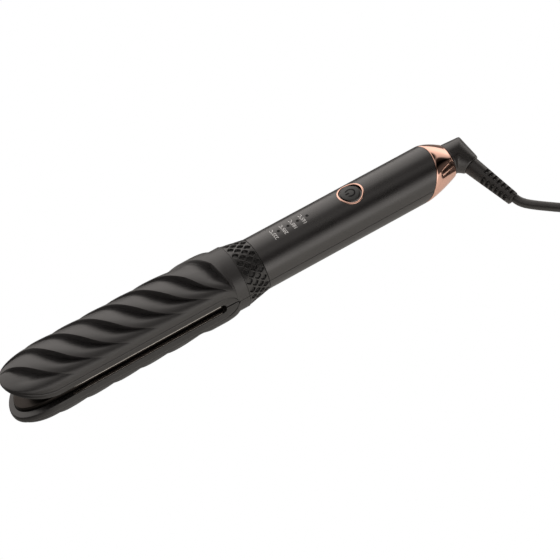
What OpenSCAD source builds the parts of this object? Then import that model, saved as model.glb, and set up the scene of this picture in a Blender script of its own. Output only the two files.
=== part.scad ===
// Two-arm hair styler: lobed barrel arms with hot plates, knurled collar, round handle split along its
// middle plane, tail ring with the arm hinge and a swivelling cord entry.
// X runs from the tip (-X) to the cord end (+X), Z is up, and the tool lies on its lower arm at Z = 0.

/* [Barrel] */
// Length of the barrel arms, tip to collar
barrel_len = 147.4; // [135:0.2:165]
// Half of the arm's width across the bead
arm_half_w = 18.6; // [18.2:0.1:20]
// Length over which the arm's plan rounds off to the tip
nose_len = 27; // [22:0.5:32]
// How far the arms' edges curve away from the middle plane at the tip
nose_flare = 7; // [4:0.5:8]
// Height of the parting line between cover and bead above the middle plane
rim_z = 7.8; // [7.4:0.1:8.6]
// Height of the cover's crests above its rim
dome_h = 11.6; // [10:0.1:12]
// Half height of the channel that runs between the two arms
slot_half = 3; // [2.4:0.1:3.6]
// Wall of the moulded covers
cover_wall = 3; // [2.6:0.1:3.4]
// Distance between two creases along the cover
crease_pitch = 17.3; // [14:0.1:21]
// Height of a crease's step
crease_step = 2; // [1:0.1:2.2]
// Bottom of the lobes, cut flat so that the tool lies still
rest_drop = 19; // [18.9:0.02:19.2]

/* [Hot plates] */
// Distance from the arm's edge to the plate's edge
plate_inset = 3.6; // [3:0.1:5]
// Thickness of a hot plate
plate_t = 4; // [3:0.1:4.4]
// Thickness of a heater strip
heater_t = 1.2; // [0.8:0.1:1.6]

/* [Collar] */
// Length of the knurled collar
collar_len = 15; // [12:0.5:22]
// Radius of the collar at the barrel
collar_r = 18.8; // [18:0.1:18.9]
// Wall of the collar
collar_wall = 2; // [1.4:0.1:3]

/* [Handle] */
// Length of the handle shells
handle_len = 115; // [100:1:140]
// Outer radius of the handle
handle_r = 16; // [15.6:0.1:16.6]
// Wall of the handle shells
handle_wall = 2; // [1.6:0.1:2.4]
// Gap between the two arms along the middle plane
seam_gap = 0.3; // [0.2:0.05:0.6]
// Distance from the tail ring to the middle of the power button
button_from_ring = 48.5; // [44:0.5:56]
// Radius of the power button
button_r = 5.6; // [4.5:0.1:6]
// Travel of the power button
button_travel = 0.8; // [0.4:0.1:1.2]
// Distance from the collar to the first indicator light
light_from_collar = 18; // [14:0.5:22]
// Distance between two indicator lights
light_pitch = 6.4; // [5:0.1:7]

/* [Tail] */
// Length of the tail ring
ring_len = 16.6; // [15:0.2:20]
// Radius of the tail ring at the cord end
ring_tail_r = 10.2; // [10.2:0.1:11.5]
// Length of the cord hood behind the ring
hood_len = 14.5; // [13:0.5:17]
// Radius of the hinge pin
pin_r = 1.5; // [1.2:0.1:1.8]
// Height of the hinge pin below the middle plane
pin_drop = 9.5; // [9:0.1:10]
// Radius of the swivel's journal
journal_r = 6; // [5:0.1:6.4]

/* [Cord and plug] */
// Diameter of the cord
cord_d = 5.5; // [5:0.1:6]
// Length of the strain relief
guard_len = 30; // [26:1:32]
// Turns side by side in the coil
coil_across = 3; // [2:1:3]
// Layers of turns in the coil
coil_layers = 4; // [2:1:4]
// Radius of the coil at the middle of its turns
coil_r = 30; // [28:1:33]
// Radius of a plug pin
plug_pin_r = 2; // [2:0.1:2.4]
// Distance between the plug pins
plug_pin_pitch = 18.6; // [17:0.1:19.6]

/* [Hidden] */
$fn = 64;

// Places along X, from one end to the other.
total_len = barrel_len + collar_len + handle_len + ring_len + hood_len;
x_tip = -total_len / 2;
x_collar = x_tip + barrel_len;
x_handle = x_collar + collar_len;
x_ring = x_handle + handle_len;
x_tail = x_ring + ring_len;
axis_z = rest_drop;

// Running and seating clearances.
seat_gap = 0.1;
body_gap = 0.3;
run_gap = 0.05;
half_seam = seam_gap / 2;

// Barrel: the bead ends in a tongue that closes the channel ahead of the collar.
cover_inset = 0.4;
slot_end = 15;
tongue_end = 7;
tongue_len = 12;
slot_back = x_collar - slot_end;
tongue_tip = x_collar - tongue_end;
tongue_start = tongue_tip - tongue_len;
saddle_len = 24;
crease_slope = 0.75;
crease_bend = 15.5;
first_crease = 13.85;
squeeze_len = 32;
stretch_len = 18;
cover_ribs = 16;
flare_len = 26;

function smooth(v) = let (c = min(1, max(0, v))) c * c * (3 - 2 * c);
function mix(a, b, v) = a + (b - a) * v;

// Half width of the plan at x, for a plan that is w wide and starts at the tip plus inset.
function plan_w(x, w, inset) =
    let (d = max(0, min(nose_len, x - x_tip - inset)))
    w * sqrt(max(0, 1 - pow((nose_len - d) / nose_len, 2)));

// Height of the cover's lower edge: up at the nose, level along the arm, down round the tongue to the seam.
function flare(x) = nose_flare * pow(max(0, min(1, (x_tip + flare_len - x) / flare_len)), 1.6);
function rim_at(x) =
    x < tongue_start ? rim_z + flare(x)
    : x > tongue_tip ? half_seam
    : half_seam + (rim_z - half_seam)
      * sqrt(max(0, 1 - pow((x - tongue_start) / (tongue_tip - tongue_start), 2.4)));
function crest_at(x) = mix(rim_z + dome_h, collar_r, smooth((x - x_collar + saddle_len) / saddle_len));
function cover_w(x) =
    mix(arm_half_w - cover_inset, collar_r, smooth((x - x_collar + saddle_len) / saddle_len));
function nose_scale(x) = plan_w(x, 1, cover_inset);

// The crease pattern: each lobe is highest behind its crease and falls, ever faster, to the next one.
lobe_end = 0.94;
cell_parts = [0, 0.3, 0.52, 0.7, 0.84, lobe_end];
function lobe_drop(v) = pow(min(1, max(0, v) / lobe_end), 2.2);
function lobe_amount(c) =
    smooth((c + 0.97) / 0.25) * mix(1, 0.35, smooth((c + 0.6) / 1.5)) * smooth((0.99 - c) / 0.1);
cells = floor((barrel_len - first_crease - 8) / crease_pitch);
nose_stations = [0.15, 0.7, 1.8, 3.4, 5.4, 7.8, 10.4, 12.8];
stations = concat(
    [for (d = nose_stations) [x_tip + cover_inset + d, 1 - (first_crease - cover_inset - d) / crease_pitch]],
    [for (k = [0:cells - 1]) for (v = cell_parts) [x_tip + first_crease + (k + v) * crease_pitch, v]],
    [[x_tip + first_crease + cells * crease_pitch, 0]],
    [for (d = [11, 9, 8, 7.2, 5, 2, 0]) if (x_collar - d > x_tip + first_crease + cells * crease_pitch + 1)
        [x_collar - d, 0]]);

// Slant of a crease round the cover. It eases out at the rim and at both ends of the arm.
function crease_shift(c) =
    -(crease_slope * c * arm_half_w + crease_bend * pow(c, 5)) * smooth((1.02 - abs(c)) / 0.22);
function shear(x, shift) =
    smooth((x - x_tip) / (shift < 0 ? squeeze_len : stretch_len))
    * smooth((x_collar - x) / (shift > 0 ? squeeze_len : stretch_len));

// One point of the cover. wall is 0 outside and the cover's wall inside; drop trims the lobes flat.
function cover_point(station, a, wall, drop) =
    let (c = cos(a),
         shift = crease_shift(c),
         x = station[0] + shift * shear(station[0], shift),
         s = nose_scale(x),
         rim = rim_at(x),
         w = max(0.4, cover_w(x) * s - wall),
         rise = max(0.3, (crest_at(x) - rim) * s - wall),
         relief = wall > 0 ? 0 : crease_step * lobe_drop(station[1]) * lobe_amount(c) * s
                  * smooth((x - x_tip) / 14) * smooth((x_collar - x) / 22),
         z = rim + max(0, rise * pow(sin(a), 0.94) - relief))
    [x, w * c, min(z, drop - (wall > 0 ? wall : 0))];

// A closed skin through rings of points that all have the same number of points, each running
// anticlockwise about the way the rings are stacked. A folded ring goes out and back along a wall.
module skin(rings, folded = false) {
    n = len(rings[0]);
    m = len(rings);
    points = [for (r = rings) each r];
    sides = [for (i = [0:m - 2]) for (j = [0:n - 1])
        let (k = (j + 1) % n)
        each [[(i + 1) * n + k, i * n + k, i * n + j], [(i + 1) * n + j, (i + 1) * n + k, i * n + j]]];
    last = (m - 1) * n;
    caps = folded
        ? [for (j = [0:n / 2 - 2]) each [[j, j + 1, n - 2 - j, n - 1 - j],
                                         [last + n - 1 - j, last + n - 2 - j, last + j + 1, last + j]]]
        : [[for (j = [0:n - 1]) j], [for (j = [n - 1:-1:0]) last + j]];
    polyhedron(points, concat(sides, caps), convexity = 6);
}

function cover_ring(station, drop) = concat(
    [for (j = [0:cover_ribs]) cover_point(station, j * 180 / cover_ribs, 0, drop)],
    [for (j = [cover_ribs:-1:0]) cover_point(station, j * 180 / cover_ribs, cover_wall, drop)]);

module cover_shell(drop) {
    skin([for (s = stations) cover_ring(s, drop)], folded = true);
}

// Places along an arm piece whose tip is inset from the arm's tip.
nose_parts = [0.005, 0.022, 0.055, 0.11, 0.185, 0.28, 0.39, 0.52, 0.67, 0.83, 1];
function places(inset, x_back) = concat([for (v = nose_parts) x_tip + inset + v * nose_len], [x_back]);

// Bar of a rectangular section that follows the arm's plan and curves up at the nose with the arm's edge.
slot_flare = 1.2;
module flared_bar(w, inset, x_back, low, high) {
    skin([for (x = places(inset, x_back))
        let (y = plan_w(x, w, inset), up = slot_flare * flare(x))
        [[x, y, low + up], [x, y, high + up], [x, -y, high + up], [x, -y, low + up]]]);
}

module upper() {
    translate([0, 0, axis_z]) children();
}
module lower() {
    translate([0, 0, axis_z]) rotate([180, 0, 0]) children();
}

// Frame: the bead round the arm, the roof over the plate and the tongue that closes the channel.
bead_insets = [[0, 1.3], [0.12, 0.5], [0.3, 0.08], [0.5, 0], [0.72, 0.06], [0.9, 0.4], [1, 0.9]];
pocket_gap = 0.3;
roof_t = 1.3;
plate_w = arm_half_w - plate_inset;
plate_back = slot_back - 1;
wire_start = 4;
wire_w = 10;
wire_z = 3.2;
wire_h = 2.6;

function bead_point(x, b, side) =
    [x, side * max(0.05, plan_w(x, arm_half_w - b[1], b[1])),
     mix(slot_half + slot_flare * flare(x), rim_at(x) - 0.1, b[0])];
module bead() {
    n = len(bead_insets) - 1;
    skin([for (x = places(0, tongue_start + seat_gap)) concat(
        [for (i = [0:n]) bead_point(x, bead_insets[i], 1)],
        [for (i = [n:-1:0]) bead_point(x, bead_insets[i], -1)])]);
}

module tongue_side() {
    steps = 10;
    top = [for (i = [0:steps]) let (x = mix(tongue_start, tongue_tip, i / steps)) [x, rim_at(x) - 0.1]];
    polygon(concat([[tongue_start, slot_half], [slot_back - 1.5, slot_half], [slot_back - 0.4, slot_half - 1],
                    [slot_back, half_seam]],
                   [for (i = [steps:-1:0]) top[i]]));
}

module frame_solid() {
    difference() {
        union() {
            bead();
            translate([0, arm_half_w - 0.3, 0]) rotate([90, 0, 0])
                linear_extrude(2 * arm_half_w - 0.6) tongue_side();
        }
        flared_bar(plate_w + pocket_gap, plate_inset - pocket_gap, plate_back + pocket_gap,
                   -1, rim_z - roof_t);
        // Way for the wires from the heater to the handle.
        translate([plate_back - wire_start, -wire_w / 2, wire_z])
            cube([wire_start + 2 * slot_end, wire_w, wire_h]);
    }
}

module hot_plate_solid() {
    flared_bar(plate_w, plate_inset, plate_back, half_seam - 0.05, plate_t);
}

heater_w = 16;
heater_front = x_tip + flare_len + 1;
heater_back = plate_back - 6;
module heater_solid() {
    translate([heater_front, -heater_w / 2, plate_t])
        cube([heater_back - heater_front, heater_w, heater_t]);
}

pad_size = 7;
pad_count = 4;
module plate_pads_solid() {
    step = (heater_back - heater_front - 2 * pad_size) / (pad_count - 1);
    for (k = [0:pad_count - 1])
        translate([heater_front + pad_size / 2 + k * step, -pad_size / 2, plate_t + heater_t])
            cube([pad_size, pad_size, rim_z - roof_t - plate_t - heater_t]);
}

// Collar: a cone ring, split along the middle plane.
module half_space() {
    translate([x_tip - 50, -60, half_seam]) cube([total_len + 100, 120, 60]);
}
module along_x(x) {
    translate([x, 0, 0]) rotate([0, 90, 0]) children();
}
module collar_solid() {
    intersection() {
        along_x(x_collar) rotate_extrude() polygon([
            [collar_r - collar_wall, 0], [collar_r - 0.5, 0], [collar_r, 0.5],
            [handle_r + 0.4, collar_len - 1], [handle_r, collar_len - 0.6], [handle_r, collar_len],
            [handle_r - handle_wall, collar_len]]);
        half_space();
    }
}

// Handle shells.
relief_front = 2.3;
relief_slope = 0.52;
chin_slope = 0.43;
relief_gap = 0.7;
lip_len = 14;
lip_wall = 1;
module handle_half() {
    intersection() {
        along_x(x_handle) difference() {
            cylinder(h = handle_len, r = handle_r);
            translate([0, 0, -1]) cylinder(h = handle_len + 2, r = handle_r - handle_wall);
        }
        half_space();
    }
}

light_r = 0.9;
bezel_r = button_r + 1.6;
bezel_seat = 1.2;
button_x = x_ring - button_from_ring;
light_xs = [for (k = [0:3]) x_handle + light_from_collar + k * light_pitch];
board_z = 7.5;
board_t = 1.6;
board_w = 2 * (sqrt(pow(handle_r - handle_wall, 2) - pow(board_z + board_t, 2)) - 0.6);
board_front = x_handle + 10;
board_back = button_x + 12;
post_r = 2;
post_xs = [board_front + 4, board_back - 4];

// Bosses that take the screws of the liners.
liner_t = 1.6;
screw_front = 6;
screw_back = 28.5;
screw_xs = [x_handle + screw_front, x_ring - screw_back];
screw_r = 1.5;
screw_head_r = 2.6;
screw_shank = 5;
screw_head_t = 0.7;
boss_r = 3;
boss_foot = half_seam + liner_t + 0.1;
module screw_bosses() {
    intersection() {
        for (x = screw_xs) translate([x, 0, boss_foot]) difference() {
            cylinder(h = handle_r, r = boss_r, $fn = 24);
            translate([0, 0, -1]) cylinder(h = screw_shank, r = screw_r + run_gap, $fn = 24);
        }
        along_x(x_handle) cylinder(h = handle_len, r = handle_r - 0.5);
    }
}

// Flat land under the button, so that its bezel sits level on the round shell.
land_z = handle_r - 0.35;
module upper_handle_solid() {
    difference() {
        union() {
            handle_half();
            screw_bosses();
            intersection() {
                union() {
                    translate([button_x, 0, land_z - 3.6]) cylinder(h = 3.6, r = bezel_r + 1);
                    for (x = post_xs) for (side = [-1, 1])
                        translate([x, side * (board_w / 2 - 3), board_z + board_t])
                            cylinder(h = 10, r = post_r);
                }
                along_x(x_handle) cylinder(h = handle_len, r = handle_r - 0.2);
            }
        }
        translate([button_x, 0, 0]) cylinder(h = 30, r = button_r + body_gap);
        translate([button_x, 0, land_z - bezel_seat]) cylinder(h = 10, r = bezel_r + seat_gap);
        for (x = light_xs) translate([x, 0, 0]) cylinder(h = 30, r = light_r + seat_gap / 2, $fn = 24);
    }
}
module upper_handle() {
    color("#262427") upper() upper_handle_solid();
}

// Lower shell: its tail edge is raked, so that it swings clear of the ring's chin.
module raked_cut(gap, slope) {
    reach = 24;
    rotate([90, 0, 0]) translate([0, 0, -40]) linear_extrude(80)
        polygon([[x_ring - relief_front + gap, 1], [x_ring - relief_front + gap, 0],
                 [x_ring - relief_front - slope * reach + gap, -reach],
                 [x_ring + 60, -reach], [x_ring + 60, 1]]);
}
module lower_handle_solid() {
    difference() {
        union() {
            intersection() {
                along_x(x_handle) difference() {
                    cylinder(h = handle_len, r = handle_r);
                    translate([0, 0, -1]) cylinder(h = handle_len + 2, r = handle_r - handle_wall);
                    translate([0, 0, handle_len - lip_len]) cylinder(h = lip_len + 2, r = handle_r - lip_wall);
                }
                mirror([0, 0, 1]) half_space();
            }
            mirror([0, 0, 1]) screw_bosses();
        }
        raked_cut(0, relief_slope);
    }
}

// Liners: flat covers that close the two halves of the handle along the seam.
liner_front = x_collar + 3;
liner_back = x_ring - 19;
module liner_solid() {
    w = handle_r - handle_wall - 0.25;
    difference() {
        translate([liner_front, -w, half_seam + 0.05]) cube([liner_back - liner_front, 2 * w, liner_t]);
        for (x = screw_xs) translate([x, 0, -1]) cylinder(h = 4, r = screw_r + seat_gap, $fn = 24);
        for (x = screw_xs) translate([x, 0, -1]) cylinder(h = 1.9, r = screw_head_r + seat_gap, $fn = 24);
    }
}
module screws_solid() {
    for (x = screw_xs) translate([x, 0, half_seam + 0.05]) {
        cylinder(h = screw_head_t, r = screw_head_r, $fn = 24);
        cylinder(h = screw_shank, r = screw_r, $fn = 24);
    }
}

module control_board() {
    color("#1f5a38") upper() translate([board_front, -board_w / 2, board_z])
        cube([board_back - board_front, board_w, board_t]);
}
switch_h = 3.4;
module push_switch() {
    color("#3a3a3c") upper() {
        translate([button_x - 3, -3, board_z + board_t]) cube([6, 6, switch_h]);
        translate([button_x, 0, board_z + board_t + switch_h]) cylinder(h = 0.5, r = 1.6);
    }
}
module indicator_lights() {
    color("#b8c4cc") upper() for (x = light_xs)
        translate([x, 0, board_z + board_t])
            cylinder(h = handle_r - board_z - board_t - 0.1, r = light_r, $fn = 24);
}

// Power button: a shallow dished cap over a stem, inside a plated bezel.
button_proud = 0.3;
button_top = land_z + 0.2 + button_proud;
stem_foot = board_z + board_t + switch_h + 0.5 + seat_gap;
module power_button() {
    color("#303032") upper() translate([button_x, 0, 0]) {
        rotate_extrude() polygon([
            [0, stem_foot + button_travel], [2, stem_foot + button_travel], [2, button_top - 1.8],
            [button_r, button_top - 1.8], [button_r, button_top - 0.4], [button_r - 0.4, button_top],
            [button_r - 1.4, button_top], [button_r - 2.4, button_top - 0.35], [0, button_top - 0.35]]);
    }
}
module button_bezel() {
    top = land_z + 0.5;
    color("#d9a48c") upper() translate([button_x, 0, 0]) rotate_extrude() polygon([
        [button_r + body_gap, land_z - bezel_seat], [bezel_r, land_z - bezel_seat],
        [bezel_r, top - 0.4], [bezel_r - 0.5, top], [button_r + body_gap + 0.3, top],
        [button_r + body_gap, top - 0.3]]);
}

// Tail ring: a tapered plated ring with a chin below, a spigot into the handle and a bore for the bush.
ring_front_wall = 1.6;
ring_cavity_r = 12.4;
bush_r = 8.6;
bush_len = 9;
spigot_len = 10;
spigot_r = handle_r - handle_wall - body_gap;
spigot_wall = 1.4;
module tail_ring() {
    color("#c98e74") upper() difference() {
        union() {
            along_x(x_ring) rotate_extrude() polygon([
                [ring_cavity_r, 0.2], [handle_r, 0.2], [handle_r, 1.6], [handle_r - 0.7, 5],
                [handle_r - 2.3, 10], [ring_tail_r + 0.5, ring_len - 0.6], [ring_tail_r, ring_len],
                [bush_r, ring_len], [bush_r, ring_len - bush_len], [ring_cavity_r, ring_len - bush_len]]);
            // Spigot that carries the upper handle shell.
            along_x(x_ring - spigot_len) rotate_extrude() polygon([
                [spigot_r - spigot_wall, 0], [spigot_r, 0], [spigot_r, spigot_len + 0.3],
                [spigot_r - spigot_wall, spigot_len + 0.3]]);
            // Chin: the wedge under the raked end of the lower shell.
            intersection() {
                along_x(x_ring - 20) difference() {
                    cylinder(h = 20.3, r = handle_r);
                    translate([0, 0, -1]) cylinder(h = 30, r = spigot_r - 0.1);
                }
                raked_cut(relief_gap, chin_slope);
                translate([x_ring - 30, -30, -40]) cube([31, 60, 40 - 0.5]);
            }
        }
        // Room for the hinge arm and its ears.
        intersection() {
            translate([x_ring - 30, -7.6, -handle_r + ring_front_wall]) cube([33.1, 15.2, 9]);
            along_x(x_ring - 40) cylinder(h = 60, r = handle_r - ring_front_wall + 0.1);
        }
    }
}

// Hinge: a bracket with two ears in the ring, a cross pin, and the lower arm's own steel arm.
ear_t = 2.7;
arm_w = 8;
ear_gap = 0.2;
ear_r = 2.6;
pin_x = x_ring - 1;
pin_len = arm_w + 2 * (ear_gap + ear_t);
bracket_back = ring_len - bush_len;
module hinge_bracket() {
    color("#8d8f93") upper() difference() {
        union() {
            along_x(x_ring + 3.2) cylinder(h = bracket_back - 3.2, r = ring_cavity_r - 0.05);
            intersection() {
                for (side = [-1, 1]) translate([0, side * (arm_w / 2 + ear_gap + ear_t / 2), 0])
                    rotate([90, 0, 0]) translate([0, 0, -ear_t / 2]) linear_extrude(ear_t) {
                        translate([pin_x, -pin_drop]) circle(r = ear_r);
                        translate([pin_x, -pin_drop - ear_r]) square([x_ring + 4 - pin_x, 2 * ear_r]);
                    }
                along_x(x_ring - 10) cylinder(h = 20, r = ring_cavity_r - 0.05 + 1.6);
            }
        }
        translate([pin_x, 30, -pin_drop]) rotate([90, 0, 0]) cylinder(h = 60, r = pin_r + 0.02);
        along_x(x_ring) cylinder(h = 20, r = journal_r + 2);
        along_x(x_ring) translate([0, 0, 3]) difference() {
            cylinder(h = 10, r = 30);
            translate([0, 0, -1]) cylinder(h = 12, r = ring_cavity_r - 0.05);
        }
    }
}
module hinge_pin() {
    color("#c4c6ca") upper() translate([pin_x, pin_len / 2, -pin_drop]) rotate([90, 0, 0])
        cylinder(h = pin_len, r = pin_r);
}
arm_foot_front = x_ring - 17;
arm_foot_back = x_ring - 11.5;
module hinge_arm() {
    color("#8d8f93") upper() intersection() {
        translate([0, arm_w / 2, 0]) rotate([90, 0, 0]) linear_extrude(arm_w) difference() {
            union() {
                translate([pin_x, -pin_drop]) circle(r = ear_r);
                polygon([[arm_foot_front, -9.5], [arm_foot_front, -16], [arm_foot_back, -16],
                         [arm_foot_back, -12.4], [x_ring - 9.5, -12.1],
                         [pin_x, -pin_drop - ear_r + 0.2], [pin_x, -pin_drop + ear_r - 0.2]]);
            }
            translate([pin_x, -pin_drop]) circle(r = pin_r + run_gap);
        }
        along_x(x_ring - 40) cylinder(h = 60, r = handle_r - handle_wall - 0.02);
    }
}

// Swivel: a bush in the ring, the hood's journal that turns in it and a clip that holds it.
clip_gap = 0.1;
clip_t = 1;
module swivel_bush() {
    color("#e8e6e0") upper() along_x(x_tail - bush_len) difference() {
        cylinder(h = bush_len, r = bush_r - 0.02);
        translate([0, 0, -1]) cylinder(h = bush_len + 2, r = journal_r + run_gap);
    }
}

// Direction in which the cord leaves the hood.
exit_turn = 73;
exit_dip = 21.5;
exit_dir = [cos(exit_turn), -sin(exit_turn) * cos(exit_dip), -sin(exit_turn) * sin(exit_dip)];
hood_x = x_tail + 5.9;
hood_r = 9.2;
nozzle_r = 5.6;
nozzle_len = 11;
module along_exit(distance) {
    translate([hood_x, 0, 0]) rotate([0, 0, atan2(exit_dir[1], exit_dir[0])])
        rotate([0, acos(exit_dir[2]), 0]) translate([0, 0, distance]) children();
}
module swivel_hood() {
    color("#242325") upper() {
        along_x(x_tail) rotate_extrude() polygon(concat(
            [[0, body_gap], [hood_r, body_gap], [hood_r - 0.2, 7]],
            [for (a = [0:15:90]) [hood_r - 5.2 + 5 * cos(a), hood_len - 5 + 5 * sin(a)]],
            [[0, hood_len]]));
        along_x(x_tail - bush_len - 3) difference() {
            cylinder(h = bush_len + 4, r = journal_r);
            translate([0, 0, 3 - clip_gap - clip_t]) difference() {
                cylinder(h = clip_t, r = 10);
                translate([0, 0, -1]) cylinder(h = 3, r = journal_r - 0.8);
            }
        }
        along_exit(0) cylinder(h = nozzle_len, r = nozzle_r);
    }
}
module swivel_clip() {
    color("#9a9ca0") upper() along_x(x_tail - bush_len - clip_gap - clip_t) difference() {
        translate([0, 0, 0.05]) cylinder(h = clip_t - 0.1, r = journal_r + 1.6);
        translate([0, 0, -1]) cylinder(h = 4, r = journal_r - 0.8 + run_gap);
    }
}

// Strain relief: a tapered sleeve with grooves.
guard_r = 5;
guard_end_r = 3.9;
guard_ribs = 7;
module strain_relief() {
    rib = guard_len / (guard_ribs + 1);
    function r_at(d) = mix(guard_r, guard_end_r, d / guard_len);
    color("#1f1f20") upper() along_exit(nozzle_len + 0.02) rotate_extrude() polygon(concat(
        [[0, 0], [guard_r, 0]],
        [for (k = [1:guard_ribs - 1]) let (d = k * rib) each [
            [r_at(d), d], [r_at(d) - 0.9, d + 0.35],
            [r_at(d) - 0.9, d + rib * 0.42], [r_at(d), d + rib * 0.42 + 0.35]]],
        [[guard_end_r, guard_len - 0.4], [guard_end_r - 0.4, guard_len], [0, guard_len]]));
}

// Cord: points of its free run from the strain relief to the coil, and from the coil to the plug.
cord_r = cord_d / 2;
lead_points = [[157.4, -35.6, 5], [158, -37.7, 4.2], [159.1, -41, 3.15], [160.6, -45, 2.75],
               [163.2, -50.6, 2.75], [166.9, -55.6, 2.75], [171.6, -59.7, 2.75], [177.6, -64.2, 2.75],
               [184, -69, 2.75], [192, -75, 2.75], [200, -81, 2.75], [208, -87, 2.75]];
coil_centre = [229.3, -58.6];
tail_points = [[193.8, -58.1, 20.02], [195.6, -69.6, 21.32], [201, -80, 23], [209.5, -88.1, 24.82],
               [220.2, -92.9, 26.53], [231.9, -94, 27.91], [242.1, -91.7, 28.68], [250.6, -87, 28.85],
               [257.1, -79.7, 28.85], [260.3, -70.5, 28.85], [259.8, -60.8, 28.85], [255.6, -52, 28.85],
               [253.8, -49.6, 28.85]];

function unit(v) = v / norm(v);
function path_dir(p, i) = unit(i == 0 ? p[1] - p[0] : i == len(p) - 1 ? p[i] - p[i - 1] : p[i + 1] - p[i - 1]);
cord_sides = 10;
function cord_ring(p, i, r) =
    let (d = path_dir(p, i), side = unit(cross(d, [0, 0, 1])), up = cross(side, d))
    [for (k = [0:cord_sides - 1]) let (a = 360 * k / cord_sides) p[i] + r * (cos(a) * side + sin(a) * up)];
module cord_tube(p) {
    color("#19191a") skin([for (i = [len(p) - 1:-1:0]) cord_ring(p, i, cord_r)]);
}
module cord_lead() {
    cord_tube(lead_points);
}
module cord_tail() {
    cord_tube(tail_points);
}
coil_w = coil_across * cord_d;
coil_h = coil_layers * cord_d;
module cord_coil() {
    color("#19191a") translate([coil_centre[0], coil_centre[1], 0]) rotate_extrude()
        translate([coil_r - coil_w / 2, 0]) square([coil_w, coil_h]);
}
tie_t = 1.2;
tie_w = 12;
tie_angle = 130;
module cord_tie() {
    color("#2c2c2e") translate([coil_centre[0], coil_centre[1], 0]) rotate([0, 0, tie_angle])
        translate([coil_r, tie_w / 2, 0]) rotate([90, 0, 0]) linear_extrude(tie_w) difference() {
            translate([-coil_w / 2 - tie_t - 0.3, 0]) square([coil_w + 2 * tie_t + 0.6, coil_h + tie_t + 0.3]);
            translate([-coil_w / 2 - 0.3, tie_t]) square([coil_w + 0.6, coil_h + 0.3 - tie_t]);
        }
}

// Plug: flat two-pin body with a tapered boot, lying on the coil.
plug_at = tail_points[len(tail_points) - 2];
plug_turn = atan2(0.8, -0.6);
boot_len = 10;
plug_len = 20;
plug_w = 26;
plug_t = 13.7;
plug_neck_w = 12;
plug_z = coil_h + plug_t / 2;
module at_plug() {
    translate([plug_at[0], plug_at[1], plug_z]) rotate([0, 0, plug_turn]) children();
}
module plug_body() {
    color("#1c1c1d") at_plug() {
        rotate([0, 90, 0]) cylinder(h = boot_len + 1, r1 = cord_r + 1.4, r2 = plug_neck_w / 2 - 0.2);
        translate([boot_len, 0, -plug_t / 2]) linear_extrude(plug_t) polygon([
            [0, -plug_neck_w / 2], [6, -plug_w / 2], [plug_len - 3, -plug_w / 2], [plug_len, -plug_w / 2 + 2],
            [plug_len, plug_w / 2 - 2], [plug_len - 3, plug_w / 2], [6, plug_w / 2], [0, plug_neck_w / 2]]);
    }
}
plug_pin_len = 19;
module plug_pins() {
    color("#c9cacc") at_plug() for (side = [-1, 1])
        translate([boot_len + plug_len, side * plug_pin_pitch / 2, 0]) rotate([0, 90, 0]) {
            cylinder(h = plug_pin_len, r = plug_pin_r);
            translate([0, 0, plug_pin_len]) cylinder(h = 0.6, r1 = plug_pin_r, r2 = plug_pin_r - 0.6);
        }
}

// The two arms share their shapes: the lower arm is the upper one turned half a turn about the tool's axis.
module upper_cover() {
    color("#2b2a2c") upper() cover_shell(total_len);
}
module lower_cover() {
    color("#2b2a2c") lower() cover_shell(rest_drop);
}
module upper_frame() {
    color("#333134") upper() frame_solid();
}
module lower_frame() {
    color("#333134") lower() frame_solid();
}
module upper_hot_plate() {
    color("#5a5048") upper() hot_plate_solid();
}
module lower_hot_plate() {
    color("#5a5048") lower() hot_plate_solid();
}
module upper_heater() {
    color("#d8d4c8") upper() heater_solid();
}
module lower_heater() {
    color("#d8d4c8") lower() heater_solid();
}
module upper_plate_pads() {
    color("#b5482f") upper() plate_pads_solid();
}
module lower_plate_pads() {
    color("#b5482f") lower() plate_pads_solid();
}
module upper_collar() {
    color("#2a292b") upper() collar_solid();
}
module lower_collar() {
    color("#2a292b") lower() collar_solid();
}
module lower_handle() {
    color("#262427") upper() lower_handle_solid();
}
module upper_liner() {
    color("#2a292b") upper() liner_solid();
}
module lower_liner() {
    color("#2a292b") lower() liner_solid();
}
module upper_screws() {
    color("#6a6b6e") upper() screws_solid();
}
module lower_screws() {
    color("#6a6b6e") lower() screws_solid();
}

upper_cover();
upper_frame();
upper_hot_plate();
upper_heater();
upper_plate_pads();
upper_collar();
upper_handle();
upper_liner();
upper_screws();
control_board();
push_switch();
indicator_lights();
button_bezel();
tail_ring();
hinge_bracket();
hinge_pin();
swivel_bush();
power_button();
lower_cover();
lower_frame();
lower_hot_plate();
lower_heater();
lower_plate_pads();
lower_collar();
lower_handle();
lower_liner();
lower_screws();
hinge_arm();
swivel_hood();
swivel_clip();
strain_relief();
cord_lead();
cord_coil();
cord_tie();
cord_tail();
plug_body();
plug_pins();
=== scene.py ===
import bpy, bmesh, math
from mathutils import Matrix, Vector


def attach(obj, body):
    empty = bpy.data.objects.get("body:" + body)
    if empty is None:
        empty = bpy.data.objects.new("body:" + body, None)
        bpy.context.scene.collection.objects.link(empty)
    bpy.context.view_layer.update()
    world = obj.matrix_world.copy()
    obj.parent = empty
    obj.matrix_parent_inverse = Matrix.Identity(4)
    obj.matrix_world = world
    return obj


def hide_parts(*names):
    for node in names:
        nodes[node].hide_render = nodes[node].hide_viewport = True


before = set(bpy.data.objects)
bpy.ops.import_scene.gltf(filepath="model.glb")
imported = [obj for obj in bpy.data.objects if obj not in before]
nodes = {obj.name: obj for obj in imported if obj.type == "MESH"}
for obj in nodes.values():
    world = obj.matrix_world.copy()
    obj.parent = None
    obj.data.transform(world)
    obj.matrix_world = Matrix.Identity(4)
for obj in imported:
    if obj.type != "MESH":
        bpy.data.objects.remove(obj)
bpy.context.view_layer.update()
MM = 0.001

# The looks of a two-arm hair styler, over its CAD parts. X runs along the tool from the tip to the cord, Z
# is up, and the near side of the photo is at -Y.

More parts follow.
